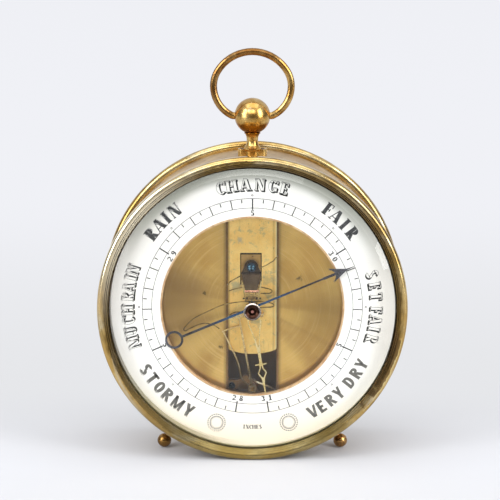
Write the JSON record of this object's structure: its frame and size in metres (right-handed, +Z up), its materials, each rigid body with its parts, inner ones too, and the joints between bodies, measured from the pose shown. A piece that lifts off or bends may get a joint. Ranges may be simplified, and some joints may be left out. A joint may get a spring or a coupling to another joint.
{
  "type": "desk barometer",
  "caption": "Round brass desk barometer with an open dial over its movement, ball feet and a carrying ring.",
  "frame": {"origin": "bottom centre of the bounding box: below the middle of the drum, on the surface it stands on", "axes": "+Z up, +Y into the case from the dial to the back, +X to the right of someone who reads the dial"},
  "size_m": [0.145, 0.0572, 0.1924],
  "materials": {
    "drum_brass": "dull tarnished brass",
    "case_brass": "polished brass with old lacquer",
    "back_brass": "satin brass",
    "clear_glass": "clear bevelled glass",
    "dark_edge": "dark lacquered brass",
    "foot_brass": "bronzed brass",
    "pendant_brass": "polished brass with darkened hollows",
    "ring_brass": "rubbed brass wire",
    "screw_bronze": "dark screw heads",
    "dial_enamel": "white enamel",
    "lining_brass": "bright brass",
    "blued_steel": "blued steel",
    "bright_steel": "polished steel",
    "hand_brass": "pale gilt",
    "knob_bronze": "dark bronzed knob",
    "plate_brass": "turned and lacquered brass",
    "strap_brass": "lacquered brass",
    "frame_brass": "aged brass",
    "leaf_steel": "grey-brown steel",
    "copper": "bright copper",
    "wire_brass": "brass wire",
    "tube_brass": "drawn brass tube",
    "work_brass": "brass wheelwork"
  },
  "bodies": {
    "case": {"case_drum": "drum_brass", "front_bezel": "case_brass", "glass": "clear_glass", "glass_bush": "lining_brass", "spacer_ring": "dark_edge", "back_rim": "case_brass", "back_plate": "back_brass", "rim_screws": "screw_bronze", "foot_left": "foot_brass", "foot_right": "foot_brass", "foot_nuts": "foot_brass", "pendant": "pendant_brass", "pendant_screws": "screw_bronze", "dial": "dial_enamel", "aperture_ring": "lining_brass", "movement_plate": "plate_brass", "movement_pillars": "plate_brass", "pillar_screws": "screw_bronze", "bridge_strap": "strap_brass", "strap_screws": "screw_bronze", "arbor_cock": "frame_brass", "sector_cock": "frame_brass", "cock_screws": "screw_bronze", "stop_screw": "blued_steel", "clamp_bar": "strap_brass", "clamp_leaf": "leaf_steel", "leaf_screw": "blued_steel", "spring_anchor": "strap_brass", "copper_bar": "copper", "anchor_pins": "leaf_steel", "hairpin_spring": "wire_brass", "take_up_spring": "wire_brass", "tube_column": "frame_brass", "tube_clamp": "frame_brass", "clamp_screws": "screw_bronze", "bourdon_tube": "tube_brass", "tube_end_left": "tube_brass", "tube_end_right": "tube_brass", "adjusting_bush": "back_brass"},
    "pointer_work": {"pointer": "blued_steel", "pointer_collet": "blued_steel", "pointer_arbor": "bright_steel"},
    "set_hand_work": {"set_hand": "hand_brass", "set_hand_knob": "knob_bronze", "set_hand_nut": "lining_brass"},
    "sector_work": {"sector": "work_brass", "sector_arbor": "bright_steel", "double_crank": "work_brass"},
    "link_left": {"link_left": "work_brass"},
    "link_right": {"link_right": "work_brass"},
    "ring": {"carrying_ring": "ring_brass"},
    "adjuster": {"adjusting_screw": "screw_bronze"}
  },
  "joints": [
    {"name": "sector_turn", "type": "hinge", "parent": "case", "child": "sector_work", "pos_m": [0, -0.0164, 0.0325], "axis": [0, 1, 0], "range_deg": [-7.41, 17.01]},
    {"name": "pointer_turn", "type": "hinge", "parent": "case", "child": "pointer_work", "pos_m": [0, -0.0164, 0.0725], "axis": [0, 1, 0], "range_deg": [-238.21, 103.81]},
    {"name": "link_left_turn", "type": "hinge", "parent": "sector_work", "child": "link_left", "pos_m": [0.0033, -0.009, 0.0288], "axis": [0, 1, 0], "range_deg": [-14.9, 6.5]},
    {"name": "link_right_turn", "type": "hinge", "parent": "sector_work", "child": "link_right", "pos_m": [-0.0033, -0.009, 0.0362], "axis": [0, 1, 0], "range_deg": [-13.91, 6.07]},
    {"name": "set_hand_turn", "type": "hinge", "parent": "case", "child": "set_hand_work", "pos_m": [0, -0.0234, 0.0725], "axis": [0, 1, 0], "continuous": true},
    {"name": "ring_swing", "type": "hinge", "parent": "case", "child": "ring", "pos_m": [0, 0.0009, 0.1605], "axis": [1, 0, 0], "range_deg": [-110, 110]},
    {"name": "adjuster_turn", "type": "hinge", "parent": "case", "child": "adjuster", "pos_m": [0, 0.0166, 0.1025], "axis": [0, 1, 0], "range_deg": [-180, 180]}
  ],
  "couplings": [
    {"joint": "pointer_turn", "follows": "sector_turn", "ratio": -14},
    {"joint": "link_left_turn", "follows": "sector_turn", "ratio": -0.875},
    {"joint": "link_right_turn", "follows": "sector_turn", "ratio": -0.817}
  ]
}
